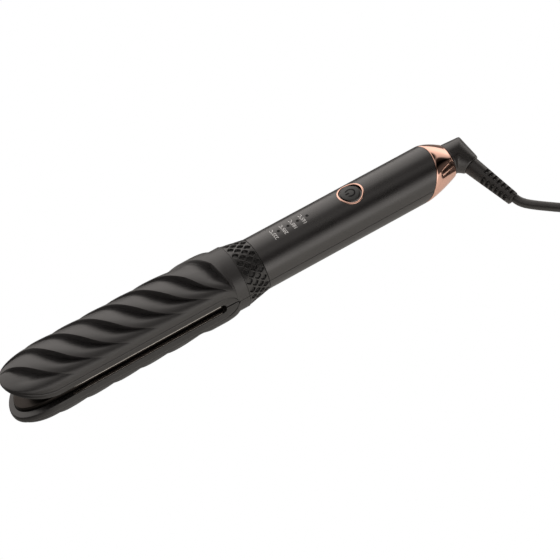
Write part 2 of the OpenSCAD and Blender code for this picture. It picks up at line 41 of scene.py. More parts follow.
# ---------------------------------------------------------------- camera
# The photo's view, as the directions across it, up it and back to the camera.
RIGHT = Vector((0.848, -0.510, -0.143))
UP = Vector((0.464, 0.587, 0.663))
BACK = RIGHT.cross(UP).normalized()
UP = BACK.cross(RIGHT).normalized()
RIGHT = UP.cross(BACK).normalized()
AIM = Vector((0.0121, -0.0214, 0.02175))
DIST, WIDE = 1.25, 0.3171
cam_data = bpy.data.cameras.new("camera")
cam = bpy.data.objects.new("camera", cam_data)
bpy.context.scene.collection.objects.link(cam)
bpy.context.scene.camera = cam
cam_data.sensor_width = 36
cam_data.lens = 36 * DIST / WIDE
cam_data.clip_start, cam_data.clip_end = 0.05, 20
cam.matrix_world = Matrix((
    (RIGHT.x, UP.x, BACK.x, AIM.x + BACK.x * DIST),
    (RIGHT.y, UP.y, BACK.y, AIM.y + BACK.y * DIST),
    (RIGHT.z, UP.z, BACK.z, AIM.z + BACK.z * DIST),
    (0, 0, 0, 1)))

# ---------------------------------------------------------------- sizes, in mm
# These are the CAD source's, apart from the bead's depth, the tongue's width and the rake.
BARREL, COLLAR, HANDLE, RING, HOOD = 147.4, 15.0, 115.0, 16.6, 14.5
X_TIP = -(BARREL + COLLAR + HANDLE + RING + HOOD) / 2
X_COLLAR = X_TIP + BARREL
X_HANDLE = X_COLLAR + COLLAR
X_RING = X_HANDLE + HANDLE
X_TAIL = X_RING + RING
AXIS_Z = 19.0
# An arm: half width, length of the round nose, height of the parting line, and of the dome over it.
HALF_W, NOSE, RIM, DOME = 18.6, 27.0, 7.8, 11.6
# How far the parting line flares at the tip and over what length. The channel's wall flares more.
FLARE, FLARE_LEN, SLOT_FLARE = 7.0, 26.0, 1.2
# Half heights of the channel between the arms and of the seam behind it, and the channel's rounded end.
SLOT, SEAM = 3.0, 0.15
SLOT_BACK, SLOT_CORNER = X_COLLAR - 15, 2.5
# The tongue, where the parting line comes down to the seam.
TONGUE_TIP = X_COLLAR - 7
TONGUE_START = TONGUE_TIP - 12
# The cover: its inset in the bead, and the length over which its form turns into the collar's.
COVER_INSET, SADDLE = 0.4, 24.0
# The creases: distance along the tool, slope across the middle, and the bend toward the edges.
PITCH, CREASE_SLOPE, CREASE_BEND = 17.3, 0.75, 15.5
BEAD_DEPTH, TONGUE_W = 3.3, 15.4
PLATE_INSET, PLATE_T = 3.6, 4.0
HANDLE_R, COLLAR_R = 16.0, 18.8
# Slope of the raked plane where the handle's shells end, 24 degrees off square.
RAKE = 0.45
BUTTON_X = X_RING - 48.5
LIGHT_X, LIGHT_PITCH = X_HANDLE + 18, 6.4
CORD_D = 5.5


# ---------------------------------------------------------------- helpers
def smooth(v):
    """Ease from 0 to 1 while v goes from 0 to 1."""
    c = min(1.0, max(0.0, v))
    return c * c * (3 - 2 * c)


def mix(a, b, v):
    return a + (b - a) * v


def shade_smooth(me):
    for p in me.polygons:
        p.use_smooth = True


def mesh_of(name, verts, faces):
    """A smooth mesh from points in mm."""
    me = bpy.data.meshes.new(name)
    me.from_pydata([Vector(v) * MM for v in verts], [], faces)
    me.update()
    shade_smooth(me)
    return me


def link(name, data, body, replaces=()):
    """Put a piece in the scene, on its body and the CAD nodes that it replaces."""
    o = bpy.data.objects.new(name, data)
    bpy.context.scene.collection.objects.link(o)
    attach(o, body)
    if replaces:
        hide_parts(*replaces)
    return o


def dress(o, finish, split):
    """Give a piece its finish, and keep the edges sharp that turn by more than split degrees."""
    o.data.materials.clear()
    o.data.materials.append(finish)
    o.modifiers.new("edges", "EDGE_SPLIT").split_angle = math.radians(split)


def grid(rows, close=False, first=0):
    """Faces over rows of points that all have the same number, outward for rows along +X, points round X."""
    n = len(rows[0])
    out = []
    for i in range(len(rows) - 1):
        for j in range(n if close else n - 1):
            k = (j + 1) % n
            a = first + i * n
            out.append((a + j, a + k, a + n + k, a + n + j))
    return out


def made(name, rows, body, finish, replaces=(), close=True, split=40):
    """A piece whose skin runs over rows of points."""
    verts = [p for r in rows for p in r]
    o = link(name, mesh_of(name, verts, grid(rows, close=close)), body, replaces)
    dress(o, finish, split)
    return o


# ---------------------------------------------------------------- materials
class Nodes:
    """A small builder for a node tree."""

    def __init__(self, tree):
        self.tree = tree

    def node(self, kind, **values):
        n = self.tree.nodes.new(kind)
        for k, v in values.items():
            setattr(n, k, v)
        return n

    def link(self, a, b):
        self.tree.links.new(a, b)

    def maths(self, operation, a, b):
        """Work with two values, each a socket or a number."""
        n = self.node("ShaderNodeMath", operation=operation)
        for value, socket in zip((a, b), n.inputs):
            if isinstance(value, (int, float)):
                socket.default_value = value
            else:
                self.link(value, socket)
        return n.outputs[0]

    def ramp(self, value, lo, hi, a=0.0, b=1.0, shape="LINEAR"):
        """Carry lo to hi over to a to b, and hold the ends."""
        n = self.node("ShaderNodeMapRange", interpolation_type=shape)
        n.inputs["From Min"].default_value = lo
        n.inputs["From Max"].default_value = hi
        n.inputs["To Min"].default_value = a
        n.inputs["To Max"].default_value = b
        self.link(value, n.inputs["Value"])
        return n.outputs["Result"]

    def split(self, vector):
        n = self.node("ShaderNodeSeparateXYZ")
        self.link(vector, n.inputs[0])
        return n.outputs

    def white_to_camera(self, shader, white, output):
        """Show the camera plain white, and let the shader light and colour everything else."""
        pick = self.node("ShaderNodeMixShader")
        self.link(self.node("ShaderNodeLightPath").outputs["Is Camera Ray"], pick.inputs["Fac"])
        self.link(shader, pick.inputs[1])
        self.link(white, pick.inputs[2])
        self.link(pick.outputs[0], output.inputs["Surface"])


class Mat(Nodes):
    """A material's nodes, in object space metres."""

    def __init__(self, name):
        self.m = bpy.data.materials.new(name)
        self.m.use_nodes = True
        super().__init__(self.m.node_tree)
        self.b = self.tree.nodes["Principled BSDF"]

    def coord(self):
        return self.node("ShaderNodeTexCoord").outputs["Object"]

    def noise(self, scale, detail, rough, vector=None):
        n = self.node("ShaderNodeTexNoise")
        n.inputs["Scale"].default_value = scale
        n.inputs["Detail"].default_value = detail
        n.inputs["Roughness"].default_value = rough
        self.link(vector or self.coord(), n.inputs["Vector"])
        return n.outputs["Fac"]

    def colours(self, value, c1, c2):
        n = self.node("ShaderNodeMix", data_type="RGBA")
        n.inputs[6].default_value = (*c1, 1)
        n.inputs[7].default_value = (*c2, 1)
        self.link(value, n.inputs[0])
        return n.outputs[2]

    def bump(self, value, strength, distance):
        n = self.node("ShaderNodeBump")
        n.inputs["Strength"].default_value = strength
        n.inputs["Distance"].default_value = distance
        self.link(value, n.inputs["Height"])
        return n.outputs["Normal"]


def plastic(name, dark, light, rough, grain=0.25, spec=0.5, coarse=900):
    """Moulded plastic: a fine moulded grain, faint handling marks and a colour that varies a little."""
    k = Mat(name)
    big = k.noise(28, 4, 0.55)
    fine = k.noise(coarse, 2, 0.5)
    k.link(k.colours(k.ramp(big, 0.3, 0.7), dark, light), k.b.inputs["Base Color"])
    k.link(k.ramp(big, 0.3, 0.7, rough - 0.04, rough + 0.05), k.b.inputs["Roughness"])
    k.link(k.bump(fine, grain, 0.00006), k.b.inputs["Normal"])
    k.b.inputs["Specular IOR Level"].default_value = spec
    return k.m


def metal(name, c1, c2, rough, lines=0.0):
    """Metal whose colour and polish vary a little, with lines brushed along X if lines is over 0."""
    k = Mat(name)
    big = k.noise(60, 3, 0.5)
    k.link(k.colours(big, c1, c2), k.b.inputs["Base Color"])
    k.b.inputs["Metallic"].default_value = 1.0
    k.link(k.ramp(big, 0.3, 0.7, max(0.02, rough - 0.03), rough + 0.03), k.b.inputs["Roughness"])
    if lines:
        m = k.node("ShaderNodeMapping")
        m.inputs["Scale"].default_value = (1.0, 60.0, 60.0)
        k.link(k.coord(), m.inputs["Vector"])
        k.link(k.bump(k.noise(60, 3, 0.6, m.outputs["Vector"]), lines, 0.00003), k.b.inputs["Normal"])
    return k.m


cover_black = plastic("cover_black_finish", (0.011, 0.01, 0.0101), (0.016, 0.0146, 0.0146), 0.46, spec=1.0)
frame_black = plastic("frame_black_finish", (0.011, 0.01, 0.01), (0.015, 0.0138, 0.0138), 0.34, spec=0.8)
collar_black = plastic("collar_black_finish", (0.01, 0.0092, 0.0092), (0.014, 0.013, 0.0128), 0.36,
                       spec=0.9)
handle_black = plastic("handle_black_finish", (0.014, 0.0127, 0.0129), (0.019, 0.0173, 0.0174), 0.28,
                       spec=1.0)
hood_black = plastic("hood_black_finish", (0.019, 0.0172, 0.0165), (0.025, 0.0226, 0.0215), 0.33, spec=0.8)
cord_black = plastic("cord_black_finish", (0.019, 0.0172, 0.0165), (0.025, 0.0226, 0.0215), 0.42,
                     grain=0.1, spec=0.7)
button_grey = plastic("button_grey_finish", (0.032, 0.034, 0.033), (0.042, 0.044, 0.043), 0.42)
tie_black = plastic("tie_black_finish", (0.012, 0.012, 0.012), (0.02, 0.02, 0.02), 0.55)
rose_gold = metal("rose_gold_finish", (0.88, 0.53, 0.42), (0.91, 0.57, 0.46), 0.05)
steel = metal("steel_finish", (0.52, 0.53, 0.54), (0.62, 0.62, 0.63), 0.32, 0.3)
bright = metal("bright_edge_finish", (0.80, 0.76, 0.72), (0.88, 0.84, 0.80), 0.2)
nickel = metal("nickel_finish", (0.66, 0.65, 0.62), (0.74, 0.73, 0.70), 0.18)
plate_coat = metal("plate_finish", (0.030, 0.026, 0.024), (0.042, 0.037, 0.034), 0.3)
ceramic = plastic("ceramic_finish", (0.70, 0.68, 0.63), (0.80, 0.78, 0.73), 0.6)
silicone = plastic("silicone_finish", (0.45, 0.10, 0.05), (0.55, 0.14, 0.07), 0.5)
board_green = plastic("board_finish", (0.010, 0.09, 0.035), (0.016, 0.12, 0.05), 0.3, coarse=300)
bush_white = plastic("bush_finish", (0.70, 0.69, 0.65), (0.78, 0.77, 0.73), 0.45)
light_smoke = plastic("light_finish", (0.003, 0.003, 0.003), (0.006, 0.006, 0.006), 0.5, spec=0.2)
print_white = plastic("print_white_finish", (0.80, 0.80, 0.80), (0.88, 0.88, 0.88), 0.5)
# Near-black ink: real print for the power mark, and painted shade for the sheet in the button's well.
print_and_well_shade_black = plastic("print_ink_and_well_shade_finish", (0.002, 0.002, 0.002), (0.004, 0.004, 0.004), 0.6, spec=0.15)

ARM_FINISH = {"cover": cover_black, "frame": frame_black, "hot_plate": plate_coat, "heater": ceramic,
              "plate_pads": silicone, "collar": collar_black, "handle": handle_black, "liner": frame_black,
              "screws": steel}
CAD_FINISH = {
    "control_board": board_green, "push_switch": button_grey, "indicator_lights": light_smoke,
    "button_bezel": rose_gold, "tail_ring": rose_gold, "hinge_bracket": steel, "hinge_pin": steel,
    "swivel_bush": bush_white, "power_button": button_grey, "hinge_arm": steel,
    "swivel_hood": hood_black, "swivel_clip": steel, "strain_relief": cord_black,
    "cord_lead": cord_black, "cord_coil": cord_black, "cord_tie": tie_black,
    "cord_tail": cord_black, "plug_body": hood_black, "plug_pins": nickel,
}
for piece, finish in ARM_FINISH.items():
    CAD_FINISH["upper_" + piece] = finish
    CAD_FINISH["lower_" + piece] = finish
for name, finish in CAD_FINISH.items():
    shade_smooth(nodes[name].data)
    dress(nodes[name], finish, 32)


# ---------------------------------------------------------------- form of the arms
# Both arms share one form. Its z is the height above the middle plane, and the lower arm is the upper one
# turned over round the tool's axis.
def upper(x, y, z):
    return (x, y, z + AXIS_Z)


def lower(x, y, z):
    return (x, -y, AXIS_Z - z)


def flare(x):
    """How far the arm's edge has curved away from the middle plane at x."""
    return FLARE * min(1.0, max(0.0, (X_TIP + FLARE_LEN - x) / FLARE_LEN)) ** 1.6


def plan_w(x, w, inset):
    """Half width at x of a plan of half width w whose round nose starts at inset from the arm's tip."""
    d = max(0.0, min(NOSE, x - X_TIP - inset))
    return w * math.sqrt(max(0.0, 1 - ((NOSE - d) / NOSE) ** 2))


def rim_at(x):
    """Height of the parting line between cover and bead, which comes down round the tongue."""
    if x < TONGUE_START:
        return RIM + flare(x)
    if x > TONGUE_TIP:
        return SEAM
    t = (x - TONGUE_START) / (TONGUE_TIP - TONGUE_START)
    return SEAM + (RIM - SEAM) * math.sqrt(max(0.0, 1 - t ** 2.4))


def slot_at(x):
    """Height of the channel's wall, which ends in a round in the tongue."""
    if x < SLOT_BACK - SLOT_CORNER:
        return SLOT + SLOT_FLARE * flare(x)
    if x > SLOT_BACK:
        return SEAM
    return SEAM + (SLOT - SEAM) * math.sqrt(max(0.0, 1 - ((x - SLOT_BACK) / SLOT_CORNER + 1) ** 2))


def crest_at(x):
    """Height of the cover's smooth dome along the middle of its top."""
    return mix(RIM + DOME, COLLAR_R, smooth((x - X_COLLAR + SADDLE) / SADDLE))


def cover_w(x):
    """Half width of the cover, leaving out its round nose."""
    return mix(HALF_W - COVER_INSET, COLLAR_R, smooth((x - X_COLLAR + SADDLE) / SADDLE))


# ---------------------------------------------------------------- covers
# Across the upper cover, c runs from -1 on the near side to 1 on the far side. Along it, d is the distance
# from the cover's own tip on its centre line, and every row of points follows the creases.

# Lobes: depth, distance of the first crease from the tip, number, and the share that each step takes.
STEP, FIRST, LOBES, RISER = 3.0, 14.8, 7, 0.06
# Lengths over which the shear fades out toward the collar, and the length at the tip where rows crowd.
UNSHEAR_NEAR, UNSHEAR_FAR, SNUB = 44, 18, 6
# Length at either end over which the lobes fade in, and width of the ledge along the rims.
LOBE_FADE, LEDGE = 12, 1.4
COVER_TIP = X_TIP + COVER_INSET
RIBS = 92
CELL = [0, 0.015, 0.04, 0.08, 0.13, 0.19, 0.25, 0.31, 0.37, 0.43, 0.49, 0.55, 0.61, 0.67, 0.73, 0.79, 0.84,
        0.885, 0.92, 0.94, 0.95, 0.96, 0.97, 0.98, 0.99]
# Rows lie close together where the surface turns: at the tip, before the first crease and in each step.
STATIONS = [0.0004, 0.003, 0.012, 0.04, 0.1, 0.2, 0.35, 0.55, 0.8, 1.1, 1.5, 2.0, 2.6, 3.3, 4.1, 5.0, 6.0,
            7.1, 8.3, 9.5, 10.7]
STATIONS += [FIRST * (1 - w) for w in (0.23, 0.18, 0.14, 0.11, 0.085, 0.065, 0.05, 0.037, 0.026, 0.017, 0.01,
                                       0.004)]
STATIONS += [FIRST + PITCH * (k + v) for k in range(LOBES) for v in CELL]
STATIONS += [mix(FIRST + PITCH * LOBES, X_COLLAR - COVER_TIP, v / 20) for v in range(21)]


def crease_shift(c):
    """How much nearer to the collar a crease lies at c than on the centre line."""
    return -(CREASE_SLOPE * HALF_W * c + CREASE_BEND * c ** 5)


def lobe_drop(u):
    """How far the surface has fallen at u lobes behind the first crease, from 0 at a crest to 1."""
    if u < -1 or u >= LOBES:
        return 0.0
    v = u - math.floor(u)
    return (v / (1 - RISER)) ** 1.6 if v < 1 - RISER else 1 - smooth((v - 1 + RISER) / RISER)


def lobe_amount(c):
    """Depth of the lobes at c: none at the rims, most on the near side of the top."""
    return smooth((c + 1) / 0.6) * mix(1.6, 0.5, smooth((c + 0.25) / 1.1)) * smooth((1 - c) / 0.06)


def sheared(d, c):
    """Distance from the tip of the point at c in row d, with less shear toward the collar and the tip."""
    g = crease_shift(c)
    e = max(d, FIRST)
    e += g * smooth((X_COLLAR - COVER_TIP - e) / (UNSHEAR_NEAR if g > 0 else UNSHEAR_FAR))
    if e < SNUB:
        e = SNUB * math.exp(e / SNUB - 1)
    return e if d > FIRST else e * d / FIRST


def cover_point(d, j, nose, lowest):
    """Rib j of row d: a point of the smooth dome, sunk along the dome's normal by its lobe."""
    a = math.pi * j / RIBS
    c, h = math.cos(a), math.sin(a) ** 0.94
    x = COVER_TIP + sheared(d, c)
    s = plan_w(x, 1, COVER_INSET)
    rim = rim_at(x)
    ends = smooth((x - X_TIP) / LOBE_FADE) * smooth((X_COLLAR - x) / LOBE_FADE)
    fall = STEP * lobe_drop((d - FIRST) / PITCH) * lobe_amount(c) * s * ends
    w, rise = cover_w(x) * s, (crest_at(x) - rim) * s ** nose
    ny, nz = c / max(w, 1), math.sin(a) / max(rise, 1)
    size = math.hypot(ny, nz)
    z = rim + max(0.0, rise * h - fall * nz / size)
    return (x, w * c - fall * ny / size, min(z, lowest))


def cover(nose, lowest):
    """A lobed cover with a narrow ledge along its rims, closed by a plane at the collar."""
    rows = []
    for d in STATIONS:
        row = [cover_point(d, j, nose, lowest) for j in range(RIBS + 1)]
        ends = [(x, y * max(0.0, 1 - LEDGE / max(LEDGE, abs(y))), z) for x, y, z in (row[0], row[-1])]
        rows.append([ends[0]] + row + [ends[1]])
    rows.append([(x, y * 0.9, z * 0.9) for x, y, z in rows[-1]])
    return [p for r in rows for p in r], grid(rows) + [tuple(reversed(range(len(rows[0]))))]


# ---------------------------------------------------------------- bead, plate and collar
# Places along the bead behind its nose, close together at the tongue and at the channel's end.
BACKS = [TONGUE_TIP - v for v in (0.02, 0.2, 0.6, 1.2, 2, 3, 4.2, 5.6, 7)]
BACKS += [SLOT_BACK - v for v in (0, 0.15, 0.5, 1, 1.6, 2.5)]
BACKS += [TONGUE_START, TONGUE_START - 1] + [TONGUE_START - 1 - 6 * k for k in range(1, 16)]


def outline(inset, w):
    """Places round an arm's plan from the back on one side, round the tip, to the back on the other."""
    xs = [x for x in sorted(BACKS, reverse=True) if x > X_TIP + NOSE + 5]
    n = 44
    turn = [(X_TIP + inset + NOSE * (1 - math.cos(math.pi * k / n)), w * math.sin(math.pi * k / n))
            for k in range(-n // 2, n // 2 + 1)]
    return [(x, -w) for x in xs] + turn + [(x, w) for x in reversed(xs)]


def frame_band(top_gap, round_in):
    """The bead round an arm, with the tongue at its back."""
    edge, n = [], 14
    for k in range(n + 1):
        h = (1 - math.cos(math.pi * k / n)) / 2
        edge.append((round_in * (1 - math.sqrt(max(0.0, 1 - abs(2 * h - 1) ** 2.6))), h))
    profile = [(BEAD_DEPTH, 1.0)] + list(reversed(edge)) + [(BEAD_DEPTH, 0.0), (BEAD_DEPTH, 0.5)]
    lines = [outline(b, HALF_W - b) for b, h in profile]
    rows = []
    for i in range(len(lines[0])):
        row = []
        for (b, h), line in zip(profile, lines):
            x, y = line[i]
            row.append((x, y, mix(slot_at(x), rim_at(x) - top_gap, h)))
        rows.append(row)
    verts = [p for r in rows for p in r]
    faces = [tuple(reversed(f)) for f in grid(rows, close=True)]
    # Block that fills the tongue between the two sides.
    m = len(verts)
    block = []
    for x in sorted(BACKS):
        low, high = slot_at(x), rim_at(x) - 0.3
        if x > SLOT_BACK - 1.5 and high > low:
            block.append([(x, TONGUE_W, low), (x, TONGUE_W, high), (x, -TONGUE_W, high), (x, -TONGUE_W, low)])
    faces += grid(block, close=True, first=m) + [(m + 3, m + 2, m + 1, m)]
    return verts + [p for r in block for p in r], faces


def hot_plate():
    """The plate of an arm, with its working face just above the middle plane and a rounded edge."""
    w, edge = HALF_W - PLATE_INSET, 0.45
    xs = [X_TIP + PLATE_INSET + NOSE * v
          for v in (0.0003, 0.002, 0.006, 0.013, 0.024, 0.04, 0.06, 0.085, 0.115, 0.15,
                    0.19, 0.24, 0.3, 0.37, 0.45, 0.54, 0.64, 0.75, 0.87, 1)]
    xs += [mix(xs[-1], SLOT_BACK - 1, v / 8) for v in range(1, 9)]
    rows = []
    for x in xs:
        y, up = plan_w(x, w, PLATE_INSET), SLOT_FLARE * flare(x)
        b = min(edge, y * 0.5)
        low, high = 0.1 + up, PLATE_T + up
        half = [(y, high), (y, low + edge), (y - 0.13 * b / edge, low + 0.13), (y - b, low)]
        half += [(y * v * (1 - b / max(y, b)), low) for v in (0.6, 0.2)]
        rows.append([(x, -p, q) for p, q in half] + [(x, p, q) for p, q in reversed(half)])
    n = len(rows[0])
    last = n * (len(rows) - 1)
    caps = [tuple(reversed(range(n))), tuple(range(last, last + n))]
    return [p for r in rows for p in r], grid(rows, close=True) + caps


def plate_edges():
    """The bright turned-down edges of the plate's carrier, which show as a line under the bead."""
    first, last, n = X_TIP + NOSE + 6, SLOT_BACK - 3, 24
    outer, inner = HALF_W - 0.75, HALF_W - 2.2
    verts, faces = [], []
    for out, back in ((outer, inner), (-inner, -outer)):
        rows = []
        for k in range(n + 1):
            x = mix(first, last, k / n)
            low, high = slot_at(x) - 0.4 * min(1, (x - first) / 8), slot_at(x) + 0.2
            rows.append([(x, out, low), (x, out, high), (x, back, high), (x, back, low)])
        m = len(verts)
        verts += [p for r in rows for p in r]
        faces += grid(rows, close=True, first=m)
        faces += [tuple(m + j for j in (3, 2, 1, 0)), tuple(len(verts) - 4 + j for j in range(4))]
    return verts, faces


def collar_radius(d, deg):
    """Radius of the collar at d along it, with rows of diamond pits between diagonal ribs."""
    first, step, turn, depth = 2.9, 3.07, 18.0, 1.2
    r = mix(COLLAR_R, HANDLE_R, d / COLLAR)
    r -= 0.45 * (1 - smooth(d / 0.5)) + 0.5 * (1 - smooth((COLLAR - d) / 0.5))
    near = 9.0
    for j in range(4):
        k = (deg - turn / 2 * (j + 1)) / turn
        off = abs(k - round(k)) * 2
        near = min(near, (abs((d - first - step * j) / step) ** 1.3 + off ** 1.3) ** (1 / 1.3))
    return r - depth * smooth((0.72 - near) / 0.14)


def collar():
    """Half of the collar: a cone ring that turns in at both ends and along the seam."""
    nx, na, turn_in = 90, 300, 1.6
    start = math.degrees(math.asin(SEAM / COLLAR_R))
    rows = []
    for i in range(nx + 1):
        d = COLLAR * i / nx
        row = []
        for j in range(na + 1):
            deg = mix(start, 180 - start, j / na)
            r = collar_radius(d, deg)
            row.append((X_COLLAR + d, r * math.cos(math.radians(deg)), r * math.sin(math.radians(deg))))
        (x, y, z), (x_end, y_end, z_end) = row[0], row[-1]
        rows.append([(x, y - turn_in, z)] + row + [(x_end, y_end + turn_in, z_end)])
    front = [(x, y * 0.9, max(z * 0.9, SEAM)) for x, y, z in rows[0]]
    back = [(x, y * 0.88, max(z * 0.88, SEAM)) for x, y, z in rows[-1]]
    rows = [front] + rows + [back]
    return [p for r in rows for p in r], grid(rows)


def on_both_arms(suffix, upper_form, lower_form, finish, replaced=()):
    """Set a piece of the arms' common form in each arm."""
    for side, place, (verts, faces) in (("upper", upper, upper_form), ("lower", lower, lower_form)):
        name = side + "_" + suffix
        o = link(name, mesh_of(name, [place(*p) for p in verts], faces), side + "_arm",
                 [side + "_" + node for node in replaced])
        dress(o, finish, 48)


# The lower cover's lobes are cut flat where the tool lies on them.
on_both_arms("cover_skin", cover(1.7, math.inf), cover(0.6, AXIS_Z), cover_black, ["cover"])
on_both_arms("bead", frame_band(0.12, 1.0), frame_band(0.02, 0.5), frame_black, ["frame"])
on_both_arms("plate", hot_plate(), hot_plate(), plate_coat, ["hot_plate"])
on_both_arms("plate_edges", plate_edges(), plate_edges(), bright)
on_both_arms("collar_skin", collar(), collar(), collar_black, ["collar"])


# ---------------------------------------------------------------- handle shells
def shell_end(z):
    """Where the raked end of the shells lies at height z over the tool's axis."""
    return X_RING - 2.3 + RAKE * z


def shell_copy(node, radii):
    """A copy of a CAD shell with its end raked, and its round faces shaded as true cylinders."""
    me = nodes[node].data.copy()
    for v in me.vertices:
        if v.co.x / MM > X_RING - 0.02:
            v.co.x = shell_end(v.co.z / MM - AXIS_Z) * MM
    normals = []
    for q in me.polygons:
        arms = [Vector((0, me.vertices[v].co.y / MM, me.vertices[v].co.z / MM - AXIS_Z)) for v in q.vertices]
        is_round = any(all(abs(a.length - r) < 0.03 for a in arms) for r in radii)
        for a in arms:
            n = a.normalized()
            normals.append((n if n.dot(q.normal) > 0 else -n) if is_round else q.normal.copy())
    link(node + "_shell", me, node.replace("handle", "arm"), (node,))
    me.normals_split_custom_set(normals)


shell_copy("upper_handle", (HANDLE_R, 14.0))
shell_copy("lower_handle", (HANDLE_R, 14.0, 15.0))


# ---------------------------------------------------------------- tail ring
def frame_of(axis):
    """An axis and two directions across it, all of length 1."""
    e = Vector(axis).normalized()
    u = e.cross(Vector((0, 0, 1))).normalized()
    return e, u, e.cross(u)


def turned(profile, origin, axis, n=96, radius=None):
    """Rows of points round an axis, one row for each (distance, radius) of the profile."""
    e, u, v = frame_of(axis)
    rows = []
    for s, r in profile:
        row = []
        for j in range(n):
            t = 2 * math.pi * j / n
            q = radius(s, r, t) if radius else r
            row.append(tuple(Vector(origin) + e * s + (u * math.cos(t) + v * math.sin(t)) * q))
        rows.append(row)
    return rows


# Plated, from the raked end of the shells to the cord entry, on a spigot inside the shells.
AROUND = 160
LIP = ((0.25, 13.6), (0, 15.7), (0.15, 15.9))
CONE_ROWS = 22
TAIL = ((16.3, 10.65), (16.5, 10.4), (16.6, 10.0), (16.6, 8.6))
SPIGOT = ((16.6, 8.6), (7.6, 8.6), (7.4, 12.3), (-9.8, 12.3), (-10, 12.5), (-10, 13.4), (-9.8, 13.6))


def ring_spots(front):
    """The ring's outer profile as (x, radius) on the side where the shells end at front."""
    spots = [(front + x, r) for x, r in LIP]
    for k in range(CONE_ROWS):
        s = k / (CONE_ROWS - 1)
        spots.append((mix(front + 0.4, X_RING + 16, s), HANDLE_R - 5.2 * s ** 1.45))
    return spots + [(X_RING + x, r) for x, r in TAIL]


columns = []
for j in range(AROUND):
    t = 2 * math.pi * j / AROUND
    front = shell_end(HANDLE_R * math.sin(t)) + 0.2 + 0.5 * smooth(-math.sin(t) * 6)
    columns.append([(x, r * math.cos(t), AXIS_Z + r * math.sin(t)) for x, r in ring_spots(front)])
ring_rows = [list(row) for row in zip(*columns)]
# The spigot's rows start a quarter turn away and run the other way round. So the two bands that join them
# to the ring's own rows are twisted, a fault that shows in the thin gaps at the ring's two ends.
spigot = turned(SPIGOT, (X_RING, 0, AXIS_Z), (1, 0, 0), AROUND)
spigot = [[row[(AROUND // 4 - j) % AROUND] for j in range(AROUND)] for row in spigot]
made("tail_ring_plated", ring_rows + spigot + [ring_rows[0]], "upper_arm", rose_gold,
     ("tail_ring",), split=30)

# ---------------------------------------------------------------- cord entry
# Elbow: two tapered legs that meet on a mitre, melted to take the edge off. The way out is bent from the
# tool's axis to the near side, and rolled downward.
EXIT_BEND, EXIT_ROLL = math.radians(73), math.radians(21.5)
ALONG = Vector((1, 0, 0))
EXIT = Vector((math.cos(EXIT_BEND), -math.sin(EXIT_BEND) * math.cos(EXIT_ROLL),
               -math.sin(EXIT_BEND) * math.sin(EXIT_ROLL)))
HINGE = ALONG.cross(EXIT).normalized()
ELBOW = Vector((X_TAIL + 7.85, 0, AXIS_Z))
ENTRY_LEG = ((0.3, 0.01), (0.3, 9.6), (0.6, 9.75), (1.5, 9.7))
EXIT_LEG = ((9.3, 6.7), (10.1, 6.5), (10.5, 6.0), (10.5, 0.01))


def leg_row(base, side, radius, lean=0.0, n=64):
    """Points round a leg of the elbow. Lean tips the row along the tool, as the mitre needs."""
    spots = [2 * math.pi * j / n for j in range(n)]
    return [tuple(base + (HINGE * math.cos(t) + side * math.sin(t) - ALONG * lean * math.sin(t)) * radius)
            for t in spots]


entry_side, exit_side = HINGE.cross(ALONG), HINGE.cross(EXIT)
mitre = entry_side.dot(EXIT) / (1 + ALONG.dot(EXIT))
rows = [leg_row(Vector((X_TAIL + s, 0, AXIS_Z)), entry_side, r) for s, r in ENTRY_LEG]
rows.append(leg_row(ELBOW, entry_side, 9.0, mitre))
rows += [leg_row(ELBOW + EXIT * s, exit_side, r) for s, r in EXIT_LEG]
hood = link("cord_elbow", mesh_of("cord_elbow", [q for r in rows for q in r], grid(rows, close=True)),
            "cord_set")
hood.data.materials.append(hood_black)
melt = hood.modifiers.new("melt", "REMESH")
melt.mode = "VOXEL"
melt.voxel_size = 0.00035
melt.use_smooth_shade = True
soft = hood.modifiers.new("soften", "SMOOTH")
soft.factor, soft.iterations = 0.5, 30

# The journal that turns in the ring is the CAD's, cut off at the elbow.
journal = nodes["swivel_hood"].data.copy()
cut = bmesh.new()
cut.from_mesh(journal)
found = bmesh.ops.bisect_plane(cut, geom=cut.verts[:] + cut.edges[:] + cut.faces[:], clear_outer=True,
                               plane_co=((X_TAIL + 1) * MM, 0, 0), plane_no=(1, 0, 0))
bmesh.ops.holes_fill(cut, edges=[e for e in found["geom_cut"] if isinstance(e, bmesh.types.BMEdge)])
cut.to_mesh(journal)
cut.free()
link("hood_journal", journal, "cord_set", ("swivel_hood",))

# Strain relief: a tapered sleeve with slits that alternate on the two sides of an unslit spine. The spine
# faces up and to the near side.
SPINE = Vector((-0.25, -0.63, 0.74))
_, across, over = frame_of(EXIT)
SPINE_AT = math.atan2(SPINE.dot(over), SPINE.dot(across))
SLIT_FIRST, SLIT_PITCH, SLIT_DEPTH = 10.4, 3.2, 2.0
SLEEVE_AT, SLEEVE_STEPS = 10.3, 156


def relief_radius(s, r, t):
    """Radius of the sleeve at s along it and angle t round it, with its slits."""
    t = (t - SPINE_AT + math.pi) % (2 * math.pi) - math.pi
    off = min(abs(t), math.pi - abs(t))
    reach = smooth((off - 0.2) / 0.12) * smooth((1.42 - off) / 0.12)
    first, count = (SLIT_FIRST, 7) if t < 0 else (SLIT_FIRST + SLIT_PITCH / 2, 6)
    d = min(abs(s - (first + SLIT_PITCH * k)) for k in range(count))
    return r - SLIT_DEPTH * reach * (1 - smooth((d - 0.65) / 0.25))


sleeve = [(0, 0.01), (0, 5.0), (0.2, 5.3)]
sleeve += [(0.4 + 0.2 * k, mix(5.4, 4.1, k / SLEEVE_STEPS)) for k in range(SLEEVE_STEPS + 1)]
sleeve += [(31.8, 4.05), (32.1, 3.8), (32.3, 3.4), (32.3, 2.2)]
relief = made("cord_guard", turned(sleeve, ELBOW + EXIT * SLEEVE_AT, EXIT, 96, relief_radius), "cord_set",
              cord_black, ("strain_relief",), split=70)


